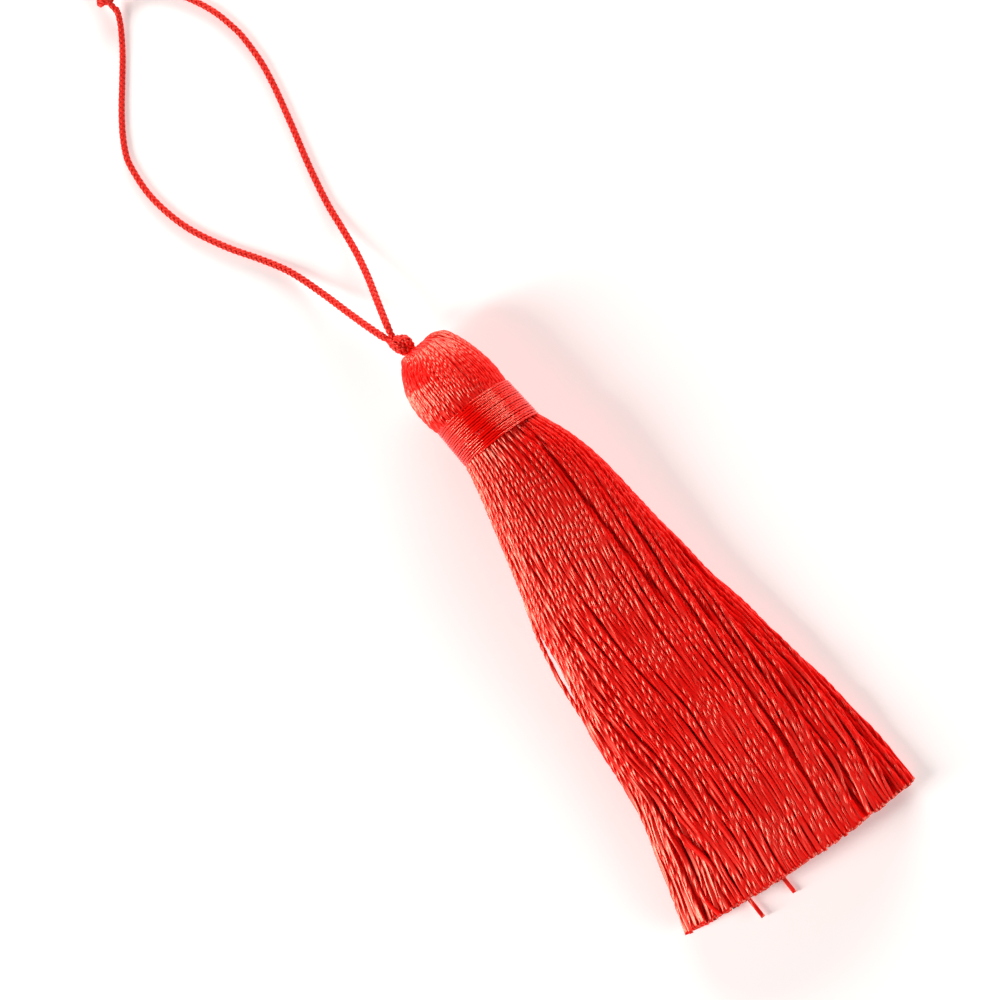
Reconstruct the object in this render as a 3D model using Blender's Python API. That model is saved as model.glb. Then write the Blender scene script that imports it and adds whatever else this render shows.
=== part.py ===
"""Red silk tassel lying on a flat surface, with its hanging loop laid out behind it.

The skirt points along -Y and the hanging loop along +Y. The surface is z = 0. The origin lies on it,
under the middle of the tassel itself, the loop left out. Sizes below are in millimetres.
"""

import math
from collections import namedtuple

import bmesh
import bpy
import numpy as np
from mathutils import Vector

MM = 0.001

GAP = 0.3  # clearance between pieces
AXIS_X = 2.2  # the head's middle line, at the middle of the wrap
AXIS_Z = 5.55  # its height over the surface
AXIS_LEAN = -0.061  # x gained per mm of y along the head
SETTLED = 0.12  # what lies lower than this is pressed flat on the surface

WRAP_TOP = 31.05
WRAP_BOTTOM = 25.15
WRAP_RADIUS_TOP = 5.53
WRAP_RADIUS_BOTTOM = 5.72
WRAP_INSIDE = 5.2
WRAP_TURNS = 16  # of thread
WRAP_GROOVE = 0.09
WRAP_LEAN = 0.06  # drop of the lower edge per mm towards -X
WRAP_STEPS = 32

NECK_RADIUS = WRAP_INSIDE - GAP - 0.05
HEAD_RIDGE = 0.09  # height of the locks that run over the head
POLE_X = 0.2  # where the locks meet, off the head's middle line
POLE_REACH = 3.4  # within this radius the locks lean towards the pole

LOCKS_ACROSS = 13  # the skirt is a square of strands, 13 by 13, squeezed into a round neck
ROOT_GAP = 0.1  # between strands where they leave the neck
STRAND_GAP = 0.05  # least space between strands further down
APART = 99.0  # stands for the distance of a strand from itself, which never counts
EVEN_SHARE = 0.97  # how nearly the strands fill the pile
PACKING_STEPS = 260
PACKING_STEP = 0.12  # share of each push that a strand follows
PACKING_PULL = 0.012  # how far the lowest strands sink in one packing step
STRAY_LENGTH = 3.3  # past the cut end
STRAY_SWAY = 0.25  # to the side, over that length

CORD_DIAMETER = 0.9
CORD_STEP = 2.5 * CORD_DIAMETER  # between points of the tube
ROUTE_SAMPLES = 20  # of the smooth curve, between two points of the route

# Outline of the head from the neck to the top: the place along it and the radius there.
HeadRing = namedtuple("HeadRing", "y radius ridged")
HEAD = [
    HeadRing(WRAP_TOP + GAP, NECK_RADIUS, 0),
    HeadRing(WRAP_TOP + GAP + 0.05, 5.50, 1),
    HeadRing(32.8, 5.68, 1),
    HeadRing(34.3, 5.73, 1),
    HeadRing(35.6, 5.60, 1),
    HeadRing(36.9, 5.34, 1),
    HeadRing(38.1, 4.91, 1),
    HeadRing(39.4, 4.32, 1),
    HeadRing(40.6, 3.50, 1),
    HeadRing(41.35, 2.45, 0.8),
    HeadRing(41.5, 1.85, 0.6),
    HeadRing(41.1, 1.25, 0.4),
    HeadRing(40.45, 0.60, 0),
]
POLE_Y = 40.25

# Cross-sections of the skirt: the outline seen from above (left, right), the height of its widest
# line (middle), how far the pile rises over that line, and the width of one strand.
SkirtSection = namedtuple("SkirtSection", "y left right middle rise strand")
SKIRT = [
    SkirtSection(22.8, -3.85, 9.30, 5.35, 5.20, 0.56),
    SkirtSection(12.5, -6.65, 11.25, 4.10, 5.20, 0.62),
    SkirtSection(-2.0, -10.60, 12.90, 2.60, 5.30, 0.67),
    SkirtSection(-20.0, -12.40, 15.60, 1.60, 5.10, 0.70),
    SkirtSection(-38.2, -17.16, 17.16, 1.00, 4.90, 0.73),
]
END_LEAN = -0.05  # the cut end drops this much per mm towards +X
END_UNEVEN = 0.35  # how far a strand's end lies from the straight cut, at most
END_VARIETY = 2.4  # radians from one strand's unevenness to the next

# Two strands of the lowest layer are longer than the rest: the x of each at the cut end.
STRAYS = [-8.6, -3.3]

# Routes of the two legs of the hanging loop, from the head knot to the end knot: x, y, z.
LEFT_LEG = [
    (-1.23, 44.73, 5.07),
    (-2.03, 46.67, 4.45),
    (-2.89, 49.64, 3.20),
    (-4.12, 54.16, 1.65),
    (-5.55, 58.44, 0.72),
    (-7.51, 62.02, 0.46),
    (-9.66, 65.36, 0.45),
    (-11.58, 68.99, 0.45),
    (-12.63, 71.71, 0.45),
    (-13.34, 74.87, 0.45),
    (-13.56, 77.74, 0.45),
    (-13.28, 80.85, 0.45),
    (-12.80, 82.69, 0.45),
    (-11.46, 85.13, 0.45),
    (-9.71, 87.57, 0.45),
    (-7.82, 89.90, 0.45),
    (-5.47, 92.82, 0.46),
    (-3.62, 95.50, 0.60),
    (-2.75, 97.10, 0.90),
    (-2.52, 97.95, 1.08),
]
RIGHT_LEG = [
    (-0.24, 45.14, 5.70),
    (0.10, 46.35, 5.35),
    (0.85, 48.95, 4.30),
    (1.75, 52.04, 2.85),
    (2.46, 55.29, 1.60),
    (2.92, 58.73, 0.80),
    (3.33, 62.21, 0.48),
    (3.99, 65.50, 0.45),
    (4.75, 68.71, 0.45),
    (5.60, 71.85, 0.45),
    (6.41, 75.02, 0.45),
    (7.17, 78.23, 0.45),
    (7.73, 81.60, 0.45),
    (7.84, 85.31, 0.45),
    (7.58, 87.41, 0.45),
    (7.07, 89.71, 0.45),
    (6.34, 91.62, 0.45),
    (5.46, 93.34, 0.45),
    (4.34, 95.16, 0.45),
    (2.84, 96.88, 0.46),
    (1.10, 98.31, 0.62),
    (-0.20, 98.98, 0.90),
    (-1.22, 99.38, 1.15),
]
# The two trimmed ends of the cord, past the end knot.
LEFT_END = [(-3.35, 101.85, 1.00), (-3.60, 102.90, 0.60), (-3.95, 104.20, 0.45)]
RIGHT_END = [(-1.85, 101.70, 1.00), (-1.50, 102.80, 0.62), (-1.15, 103.90, 0.45)]

HEAD_KNOT_PLACE = (-0.10, 43.0, 5.35)
HEAD_KNOT_SIZE = (2.5, 3.5, 2.4)
HEAD_KNOT_TURN = math.radians(20)
END_KNOT_PLACE = (-2.88, 99.95, 1.35)
END_KNOT_SIZE = (2.8, 3.3, 2.8)
END_KNOT_TURN = math.radians(-38)
KNOT_WRAPS = 3  # turns of cord that show on a knot
KNOT_GROOVE = 0.12  # depth of the groove between them


def clear_scene():
    for thing in list(bpy.data.objects):
        bpy.data.objects.remove(thing, do_unlink=True)


def material(name, colour, roughness):
    made = bpy.data.materials.new(name)
    made.use_nodes = True
    shader = made.node_tree.nodes["Principled BSDF"]
    shader.inputs["Base Color"].default_value = (*colour, 1.0)
    shader.inputs["Roughness"].default_value = roughness
    shader.inputs["Metallic"].default_value = 0.0
    return made


def add_mesh(name, form, finish):
    """Close the bmesh into a named object, scaled from millimetres to metres."""
    bmesh.ops.scale(form, vec=(MM, MM, MM), verts=form.verts)
    bmesh.ops.recalc_face_normals(form, faces=form.faces)
    mesh = bpy.data.meshes.new(name)
    form.to_mesh(mesh)
    form.free()
    mesh.shade_smooth()
    mesh.set_sharp_from_angle(angle=math.radians(50))
    mesh.materials.append(finish)
    thing = bpy.data.objects.new(name, mesh)
    bpy.context.collection.objects.link(thing)
    return thing


def axis_x(y):
    """The x of the head's middle line."""
    return AXIS_X + AXIS_LEAN * (y - (WRAP_TOP + WRAP_BOTTOM) / 2)


def press_flat(z):
    return 0.0 if z < SETTLED else z


def disc_angle(share):
    """A square's edge coordinate, moved so that its edge points fall at even angles on the disc."""
    return math.sqrt(2) * math.sin(share * math.pi / 4)


def round_square(form):
    """Bend the flat square grid into the round lower end of the neck."""
    turn = form.verts.layers.float.new("turn")
    for vert in form.verts:
        across = disc_angle(vert.co.x)
        up = disc_angle(vert.co.y)
        x = across * math.sqrt(1 - up * up / 2)
        z = up * math.sqrt(1 - across * across / 2)
        vert[turn] = math.atan2(z, x)
        y = WRAP_BOTTOM + WRAP_LEAN * NECK_RADIUS * x
        vert.co = (axis_x(WRAP_BOTTOM) + NECK_RADIUS * x, y, AXIS_Z + NECK_RADIUS * z)


def head_point(angle, ring):
    """A point on one ring of the head. Every second point is the crest of a lock."""
    number = round(angle / (2 * math.pi) * 4 * LOCKS_ACROSS)
    reach = ring.radius + HEAD_RIDGE * ring.ridged * (-1) ** number
    lean = max(0.0, 1 - ring.radius / POLE_REACH)
    middle = axis_x(ring.y) * (1 - lean) + POLE_X * lean
    height = AXIS_Z + reach * math.sin(angle)
    return middle + reach * math.cos(angle), ring.y, press_flat(height)


def build_head(form):
    """Raise the neck and the head ring by ring from the rim of the grid, and close the top."""
    turn = form.verts.layers.float["turn"]
    edges = [edge for edge in form.edges if edge.is_boundary]
    for ring in HEAD:
        raised = bmesh.ops.extrude_edge_only(form, edges=edges)["geom"]
        edges = [item for item in raised if isinstance(item, bmesh.types.BMEdge)]
        verts = [item for item in raised if isinstance(item, bmesh.types.BMVert)]
        for vert in verts:
            vert.co = head_point(vert[turn], ring)
    bmesh.ops.pointmerge(form, verts=verts, merge_co=(POLE_X, POLE_Y, AXIS_Z))


def push_apart(places, reach):
    """How far each strand is pushed by those nearer than reach. Distances are squarish, as strands are."""
    apart = places[:, None] - places[None]
    squared = apart * apart
    distance = np.sqrt(np.sqrt((squared * squared).sum(2))) + np.eye(len(places)) * APART
    push = np.clip(reach - distance, 0, None) / distance
    return (apart * push[..., None]).sum(1)


def even_reach(room, middle, count):
    """The distance at which this many strands would fill an oval that the surface cuts off below."""
    below = min(1.0, middle / room[1])
    area = math.pi / 2 + math.asin(below) + below * math.sqrt(1 - below**2)
    return EVEN_SHARE * math.sqrt(area * room[0] * room[1] / count)


def stretched(places, low, high):
    """The same arrangement of strands, drawn out to fill another box."""
    least, most = places.min(0), places.max(0)
    return low + (places - least) / (most - least) * (high - low)


def packed(before, section):
    """Where the strands lie at the next section: spread evenly, and clear of each other on the way."""
    half = section.strand / 2
    middle = np.array([(section.left + section.right) / 2, section.middle])
    room = np.array([(section.right - section.left) / 2, section.rise]) - half
    low = np.array([middle[0] - room[0], max(half, middle[1] - room[1])])
    places = stretched(before, low, middle + room)
    touching = math.sqrt(math.sqrt(2)) * (section.strand + STRAND_GAP)
    even = even_reach(room, section.middle - half, len(places))
    for step in range(PACKING_STEPS):
        move = push_apart(places, even if step < PACKING_STEPS / 2 else touching)
        move += 2 * push_apart((before + places) / 2, touching)
        places = places + PACKING_STEP * move
        outward = (places - middle) / room
        places = middle + outward / np.maximum(np.hypot(*outward.T), 1)[:, None] * room
        places[:, 1] -= np.where(places[:, 1] < 3 * half, PACKING_PULL, 0)
        places[:, 1] = np.maximum(places[:, 1], half)
    side = places[:, 0] - middle[0]
    stretch = np.where(side > 0, room[0] / side.max(), -room[0] / side.min())
    places[:, 0] = middle[0] + side * stretch
    return places


def clearance(before, after):
    """The least free width of each strand between one section and the next."""
    least = np.full(len(before), APART)
    for share in np.linspace(0.2, 1, 17):
        between = before * (1 - share) + after * share
        apart = np.abs(between[:, None] - between[None]).max(2) + np.eye(len(before)) * APART
        least = np.minimum(least, apart.min(1) - STRAND_GAP)
    return least


def strand_course(roots):
    """For each section, the places and the widths of all strands."""
    stations = [roots]
    for section in SKIRT:
        stations.append(packed(stations[-1], section))
    free = [clearance(*pair) for pair in zip(stations, stations[1:])]
    free.append(free[-1])
    course = []
    for number, section in enumerate(SKIRT):
        widths = np.minimum(section.strand, np.minimum(free[number], free[number + 1]))
        places = stations[number + 1]
        low = places[:, 1] < section.strand / 2 + SETTLED
        places[low, 1] = widths[low] / 2
        course.append((section, places, widths))
    return course


def cut_line(x, number):
    """How far the cut end of a strand lies from the straight line, which is never quite even."""
    return END_LEAN * x + END_UNEVEN * math.sin(number * END_VARIETY)


def square_corners(face):
    """For each corner of a cell, the corner of the upright square that it becomes."""
    middle = face.calc_center_median()
    ordered = sorted(face.verts, key=lambda v: math.atan2(v.co.z - middle.z, v.co.x - middle.x))
    square = dict(zip(ordered, [(-1, -1), (1, -1), (1, 1), (-1, 1)]))
    return [square[vert] for vert in face.verts]


def lengthened(form, tip, square, place, y, width):
    """Draw the end of one strand out to a new place. Returns the new end face."""
    face = bmesh.ops.extrude_discrete_faces(form, faces=[tip])["faces"][0]
    for (across, up), vert in zip(square, face.verts):
        vert.co = (place[0] + across * width / 2, y, place[1] + up * width / 2)
    return face


def build_skirt(form, cells):
    """Draw each cell of the grid out into a strand, through every cross-section in turn."""
    roots = np.array([face.calc_center_median()[:] for face in cells])[:, [0, 2]]
    squares = [square_corners(face) for face in cells]
    tips = list(cells)
    for section, places, widths in strand_course(roots):
        for number, place in enumerate(places):
            y = section.y
            if section is SKIRT[-1]:
                y += cut_line(place[0], number)
            tips[number] = lengthened(
                form, tips[number], squares[number], place, y, widths[number]
            )
    build_strays(form, tips, squares, places, widths)


def build_strays(form, tips, squares, places, widths):
    """Lengthen two strands of the lowest layer, which were missed when the end was cut."""
    for x in STRAYS:
        raised = places[:, 1] > SKIRT[-1].strand
        number = int(np.argmin(np.abs(places[:, 0] - x) + APART * raised))
        place = places[number] + [STRAY_SWAY, 0]
        y = SKIRT[-1].y - STRAY_LENGTH
        lengthened(form, tips[number], squares[number], place, y, widths[number])


def build_tassel():
    """Head and skirt are one bundle of floss: the strands part below the neck."""
    form = bmesh.new()
    bmesh.ops.create_grid(form, x_segments=LOCKS_ACROSS, y_segments=LOCKS_ACROSS, size=1)
    cells = list(form.faces)
    round_square(form)
    build_head(form)
    bmesh.ops.inset_individual(form, faces=cells, thickness=ROOT_GAP / 2)
    build_skirt(form, cells)
    form.verts.layers.float.remove(form.verts.layers.float["turn"])
    return add_mesh("tassel", form, material("red_floss", (0.78, 0.012, 0.004), 0.42))


def wrap_radius(y):
    share = (WRAP_TOP - y) / (WRAP_TOP - WRAP_BOTTOM)
    return WRAP_RADIUS_TOP * (1 - share) + WRAP_RADIUS_BOTTOM * share


def wrap_profile():
    """The wrap in section: one ridge for each turn of thread outside, and a plain wall inside."""
    height = WRAP_TOP - WRAP_BOTTOM
    outside = []
    for step in range(2 * WRAP_TURNS + 1):
        y = WRAP_TOP - height * step / (2 * WRAP_TURNS)
        groove = WRAP_GROOVE if step % 2 == 0 else 0.0
        outside.append((wrap_radius(y) - groove, y))
    return [(WRAP_INSIDE, WRAP_TOP), *outside, (WRAP_INSIDE, WRAP_BOTTOM)]


def build_wrap():
    """Fine thread wound round the neck. Its lower edge dips towards the left."""
    form = bmesh.new()
    middle = (WRAP_TOP + WRAP_BOTTOM) / 2
    verts = [form.verts.new((AXIS_X + radius, y, AXIS_Z)) for radius, y in wrap_profile()]
    for first, second in zip(verts, verts[1:] + verts[:1]):
        form.edges.new((first, second))
    bmesh.ops.spin(
        form,
        geom=form.verts[:] + form.edges[:],
        cent=(AXIS_X, middle, AXIS_Z),
        axis=(0, 1, 0),
        angle=2 * math.pi,
        steps=WRAP_STEPS,
        use_merge=True,
    )
    for vert in form.verts:
        side = vert.co.x - AXIS_X
        down = (WRAP_TOP - vert.co.y) / (WRAP_TOP - WRAP_BOTTOM)
        vert.co.x += AXIS_LEAN * (vert.co.y - middle)
        vert.co.y += WRAP_LEAN * side * down
        vert.co.z = press_flat(vert.co.z)
    return add_mesh("neck_band", form, material("red_wrapping_thread", (0.72, 0.02, 0.006), 0.35))


def smooth_route(points, step):
    """Points at even steps along the smooth curve that runs through the route's own points."""
    knots = [Vector(points[0])] + [Vector(point) for point in points] + [Vector(points[-1])]
    fine = []
    for before, start, end, after in zip(knots, knots[1:], knots[2:], knots[3:]):
        for share in np.linspace(0, 1, ROUTE_SAMPLES, endpoint=False):
            fine.append(
                0.5
                * (
                    2 * start
                    + (end - before) * share
                    + (2 * before - 5 * start + 4 * end - after) * share**2
                    + (3 * start - before - 3 * end + after) * share**3
                )
            )
    fine.append(knots[-1])
    fine = np.array(fine)
    along = np.concatenate([[0], np.cumsum(np.linalg.norm(np.diff(fine, axis=0), axis=1))])
    count = max(4, round(along[-1] / step) + 1)
    places = np.linspace(0, along[-1], count)
    return np.stack([np.interp(places, along, axis) for axis in fine.T], 1)


def build_cord(name, points, finish):
    """One leg of the hanging loop, as a tube."""
    route = smooth_route(points, CORD_STEP)
    curve = bpy.data.curves.new(name, "CURVE")
    curve.dimensions = "3D"
    curve.bevel_depth = CORD_DIAMETER / 2 * MM
    curve.bevel_resolution = 2
    curve.use_fill_caps = True
    spline = curve.splines.new("POLY")
    spline.points.add(len(route) - 1)
    for point, place in zip(spline.points, route):
        place[2] = max(place[2], CORD_DIAMETER / 2)
        point.co = (*(place * MM), 1)
    curve.materials.append(finish)
    thing = bpy.data.objects.new(name, curve)
    bpy.context.collection.objects.link(thing)
    return thing


def knot_form(size):
    """A lump of cord with the grooves of the wraps round it. Its long axis is y."""
    form = bmesh.new()
    bmesh.ops.create_uvsphere(form, u_segments=20, v_segments=12, radius=0.5)
    for vert in form.verts:
        around = math.atan2(vert.co.y, vert.co.x)
        along = vert.co.z
        waist = math.sqrt(max(0.0, 1 - (2 * along) ** 2))
        groove = KNOT_GROOVE * waist * math.cos(2 * math.pi * KNOT_WRAPS * along + around)
        x, z = vert.co.x, vert.co.y
        vert.co = (
            x * (size[0] - groove),
            along * size[1],
            z * (size[2] - groove),
        )
    return form


def add_knot(name, form, place, turn, finish):
    thing = add_mesh(name, form, finish)
    thing.location = Vector(place) * MM
    thing.rotation_euler = (0, 0, turn)
    return thing


def build_head_knot(finish):
    """Both legs are knotted together where they go into the head."""
    form = knot_form(HEAD_KNOT_SIZE)
    return add_knot("head_knot", form, HEAD_KNOT_PLACE, HEAD_KNOT_TURN, finish)


def build_end_knot(finish):
    """The knot that closes the loop, with the two trimmed ends of the cord."""
    form = knot_form(END_KNOT_SIZE)
    floor = -END_KNOT_PLACE[2]
    for vert in form.verts:
        vert.co.z = max(vert.co.z, floor)
    return add_knot("end_knot", form, END_KNOT_PLACE, END_KNOT_TURN, finish)


clear_scene()
build_tassel()
build_wrap()
cord_finish = material("red_braided_cord", (0.76, 0.012, 0.006), 0.45)
build_cord("cord_left", LEFT_LEG, cord_finish)
build_cord("cord_right", RIGHT_LEG, cord_finish)
build_cord("cord_end_left", LEFT_END, cord_finish)
build_cord("cord_end_right", RIGHT_END, cord_finish)
build_head_knot(cord_finish)
build_end_knot(cord_finish)
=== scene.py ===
import math

import bmesh
import bpy
import numpy as np
from mathutils import Matrix, Vector


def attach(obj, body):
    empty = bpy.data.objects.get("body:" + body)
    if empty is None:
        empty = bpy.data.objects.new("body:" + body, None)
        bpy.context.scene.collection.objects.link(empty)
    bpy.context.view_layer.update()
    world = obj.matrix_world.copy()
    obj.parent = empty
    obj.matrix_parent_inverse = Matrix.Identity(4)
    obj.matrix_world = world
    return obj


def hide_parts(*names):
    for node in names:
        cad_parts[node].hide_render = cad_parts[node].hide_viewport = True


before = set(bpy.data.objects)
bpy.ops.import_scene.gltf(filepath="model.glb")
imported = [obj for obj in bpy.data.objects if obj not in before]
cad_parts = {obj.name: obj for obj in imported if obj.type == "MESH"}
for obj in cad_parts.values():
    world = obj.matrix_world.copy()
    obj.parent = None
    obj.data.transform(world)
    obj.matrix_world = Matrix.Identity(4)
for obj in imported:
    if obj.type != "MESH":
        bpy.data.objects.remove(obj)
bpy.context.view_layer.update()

mm = 0.001
tiny = 1e-9
fewest = 4  # points on a line
floorLift = 0.01  # a hair of room over the surface, in mm
body = "root"

shot = {
    "middle": (-2.37, 19.8),  # mm, what the view is centred on
    "turn": -37.9,  # degrees
    "height": 600.0,  # mm over the surface
    "level": 2.0,  # mm, the height at which the view has its width
    "width": 125.0,
    "lens": 50.0,
    "clip": (0.01, 10.0),  # m
}

cordShape = {
    "diameter": 0.9,  # mm
    "thickness": (0.95, 0.92, 0.87, 0.83, 0.78),  # of the braid, from the head to the far end
    "legLength": 0.060,  # m
    "rightLegLength": 0.0597,
    "pathStep": 1.0,  # mm
}

# Middle lines of the cord, in mm. Each leg runs from the head to the knot, and each end runs
# on from there.
leftLeg = [
    (-1.40, 44.73, 5.07), (-2.03, 46.67, 4.45), (-2.89, 49.64, 3.20), (-4.12, 54.16, 1.65),
    (-5.55, 58.44, 0.72), (-7.51, 62.02, 0.46), (-9.66, 65.36, 0.45), (-11.58, 68.99, 0.45),
    (-12.63, 71.71, 0.45), (-13.34, 74.87, 0.45), (-13.56, 77.74, 0.45), (-13.28, 80.85, 0.45),
    (-12.80, 82.69, 0.45), (-11.46, 85.13, 0.45), (-9.71, 87.57, 0.45), (-7.82, 89.90, 0.45),
    (-5.47, 92.82, 0.46), (-3.62, 95.50, 0.60), (-2.75, 97.10, 0.90), (-2.52, 97.95, 1.08),
]
rightLeg = [
    (-0.24, 45.14, 5.70), (0.10, 46.35, 5.35), (0.85, 48.95, 4.30), (1.75, 52.04, 2.85),
    (2.46, 55.29, 1.60), (2.92, 58.73, 0.80), (3.33, 62.21, 0.48), (3.99, 65.50, 0.45),
    (4.75, 68.71, 0.45), (5.60, 71.85, 0.45), (6.41, 75.02, 0.45), (7.17, 78.23, 0.45),
    (7.73, 81.60, 0.45), (7.84, 85.31, 0.45), (7.58, 87.41, 0.45), (7.07, 89.71, 0.45),
    (6.34, 91.62, 0.45), (5.46, 93.34, 0.45), (4.34, 95.16, 0.45), (2.84, 96.88, 0.46),
    (1.10, 98.31, 0.62), (-0.20, 98.98, 0.90), (-1.22, 99.38, 1.15),
]
leftEnd = [
    (-3.05, 100.90, 1.30), (-3.35, 101.85, 1.00), (-3.60, 102.90, 0.60), (-3.95, 104.20, 0.45),
]
rightEnd = [
    (-2.30, 100.80, 1.30), (-1.85, 101.70, 1.00), (-1.50, 102.80, 0.62), (-1.15, 103.90, 0.45),
]


def makeCamera():
    data = bpy.data.cameras.new("camera")
    data.sensor_width = shot["lens"] * shot["width"] / (shot["height"] - shot["level"])
    data.lens = shot["lens"]
    data.clip_start, data.clip_end = shot["clip"]
    thing = bpy.data.objects.new("camera", data)
    x, y = shot["middle"]
    thing.location = (x * mm, y * mm, shot["height"] * mm)
    thing.rotation_euler = (0, 0, math.radians(shot["turn"]))
    bpy.context.collection.objects.link(thing)
    bpy.context.scene.camera = thing


def mix(low, high, share):
    return low + (high - low) * share


def smoothStep(value, low, high):
    share = np.clip((value - low) / (high - low), 0, 1)
    return share * share * (3 - 2 * share)


def goingDown(y, first, last):
    # 0 above the first y and 1 below the last
    return smoothStep(-y, -first, -last)


def drawTones(random, count, tones):
    # one tone for each strand. tones: the middle one, how far they spread, the lowest, the highest.
    middle, spread, low, high = tones
    return np.clip(random.normal(middle, spread, count), low, high)


def smoothPath(points, step=None, count=None):
    # a smooth curve through the points, cut into even steps
    between = 24  # fine points for each given one
    points = np.array(points, float)
    ends = np.vstack([2 * points[0] - points[1], points, 2 * points[-1] - points[-2]])
    share = np.linspace(0, 1, between, endpoint=False)[:, None]
    fine = []
    for before, start, end, after in zip(ends, ends[1:], ends[2:], ends[3:]):
        fine.append(0.5 * (
            2 * start
            + (end - before) * share
            + (2 * before - 5 * start + 4 * end - after) * share**2
            + (3 * start - before - 3 * end + after) * share**3
        ))
    fine = np.vstack([*fine, points[-1:]])
    along = np.concatenate([[0], np.cumsum(np.linalg.norm(np.diff(fine, axis=0), axis=1))])
    count = count or max(fewest, round(along[-1] / step) + 1)
    places = np.linspace(0, along[-1], count)
    return np.stack([np.interp(places, along, axis) for axis in fine.T], 1)


def unit(vectors):
    return vectors / np.maximum(np.linalg.norm(vectors, axis=-1, keepdims=True), tiny)


def directions(lines):
    # the running direction at each point of each line: lines is (strands, rings, 3)
    return unit(np.gradient(lines, axis=1))


def crossFrame(lines, up):
    # two directions across each line, the second as near to up as it can be
    run = directions(lines)
    up = np.broadcast_to(up, lines.shape)
    rise = unit(up - (up * run).sum(-1, keepdims=True) * run)
    return np.cross(rise, run), rise


def rolledFrame(line):
    # two directions across one winding line, turning as little as they can
    run = directions(line[None])[0]
    slanted = (0.31, 0.2, 0.93)  # no cord starts this way
    side = unit(np.cross(run[0], slanted))
    sides = [side]
    for way in run[1:]:
        side = side - side @ way * way
        side = side / np.linalg.norm(side)
        sides.append(side)
    sides = np.array(sides)
    return sides, np.cross(run, sides)


def tubeTemplate(rings, sides):
    # one straight closed tube. Returns the ring and the side of each face corner.
    form = bmesh.new()
    bmesh.ops.create_cone(
        form, cap_ends=True, segments=sides, radius1=1, radius2=1, depth=rings - 1
    )
    middle = 0.5  # of the step between two rings
    upright = [
        edge for edge in form.edges if abs(edge.verts[0].co.z - edge.verts[1].co.z) > middle
    ]
    bmesh.ops.subdivide_edges(form, edges=upright, cuts=rings - 2, use_grid_fill=True)
    bmesh.ops.recalc_face_normals(form, faces=form.faces)
    first = math.atan2(form.verts[:][0].co.y, form.verts[:][0].co.x)
    corners, sizes = [], []
    for face in form.faces:
        places = []
        for vert in face.verts:
            around = (math.atan2(vert.co.y, vert.co.x) - first) / (2 * math.pi) * sides
            places.append([round(vert.co.z + (rings - 1) / 2), round(around) % sides])
        if len(places) == 4 and max(p[1] for p in places) - min(p[1] for p in places) > 1:
            for place in places:
                place[1] += sides if place[1] == 0 else 0
        corners += places
        sizes.append(len(places))
    form.free()
    return np.array(corners), np.array(sizes)


tubeMaps = {
    "gap": 0.06,  # free at each edge of a tube's strip in the baking map, as a share of it
    "end": 0.01,  # free at the top and bottom of the map
    "shift": 7.3,  # mm by which the pattern of a tube is moved along from the one before
    "tint": 0.5,  # of tubes that have none of their own
}


def joinTubes(
    name, lines, sideways, upwards, angles, reach, finish, folds=1, tint=None, groove=None
):
    # lines, sideways and upwards are (tubes, rings, 3), and angles and reach are
    # (tubes, rings, sides), all in mm
    count, rings, sides = reach.shape
    across = np.cos(angles)[..., None] * sideways[:, :, None]
    upward = np.sin(angles)[..., None] * upwards[:, :, None]
    verts = lines[:, :, None] + reach[..., None] * (across + upward)
    verts[..., 2] = np.maximum(verts[..., 2], floorLift)
    corners, sizes = tubeTemplate(rings, sides)
    ring, side = corners.T
    local = ring * sides + side % sides
    index = (np.arange(count)[:, None] * rings * sides + local).ravel()
    total = np.tile(sizes, count)
    starts = np.concatenate([[0], np.cumsum(total)[:-1]])

    mesh = bpy.data.meshes.new(name)
    mesh.vertices.add(count * rings * sides)
    mesh.loops.add(len(index))
    mesh.polygons.add(len(total))
    mesh.vertices.foreach_set("co", (verts * mm).ravel())
    mesh.loops.foreach_set("vertex_index", index.astype(np.int32))
    mesh.polygons.foreach_set("loop_start", starts.astype(np.int32))
    mesh.update(calc_edges=True)
    mesh.shade_smooth()

    # the ring from which each face is counted, so that a face stays whole on its strip
    faceOf = np.repeat(np.arange(len(sizes)), sizes)
    lowest = np.full(len(sizes), rings)
    np.minimum.at(lowest, faceOf, ring)
    stripRings = math.ceil((rings - 1) / folds)
    strip = np.minimum(lowest[faceOf] // stripRings, folds - 1)
    down = (ring - strip * stripRings) / stripRings
    strips = count * folds
    number = np.arange(count)[:, None] * folds + strip
    gap, end = tubeMaps["gap"], tubeMaps["end"]
    across = (number + gap + (1 - 2 * gap) * side / sides) / strips
    down = np.tile(end + (1 - 2 * end) * down, (count, 1))
    bake = mesh.uv_layers.new(name="OFBake")
    bake.data.foreach_set("uv", np.stack([across, down], -1).ravel())

    steps = np.linalg.norm(np.diff(lines, axis=1), axis=2)
    lengths = np.concatenate([np.zeros((count, 1)), np.cumsum(steps, axis=1)], 1)
    threadMap = mesh.uv_layers.new(name="thread")
    along = lengths[:, ring] + tubeMaps["shift"] * np.arange(count)[:, None]
    around = np.tile(side / sides, (count, 1))
    threadMap.data.foreach_set("uv", np.stack([around, along], -1).ravel())

    tints = np.full(count, tubeMaps["tint"]) if tint is None else tint
    # the tone of each tube; for strands inside, it carries painted shade
    shade = mesh.attributes.new("tint", "FLOAT", "POINT")
    shade.data.foreach_set("value", np.repeat(tints, rings * sides).astype(np.float32))
    hollow = np.zeros(sides) if groove is None else groove
    # how deep each side lies in the groove; the finishes paint shade there and make it duller
    dip = mesh.attributes.new("groove", "FLOAT", "POINT")
    dip.data.foreach_set("value", np.tile(hollow, count * rings).astype(np.float32))

    mesh.materials.append(finish)
    thing = bpy.data.objects.new(name, mesh)
    bpy.context.collection.objects.link(thing)
    print(f"{name}: {count} tubes, {int((total - 2).sum())} triangles")
    return thing
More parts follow.
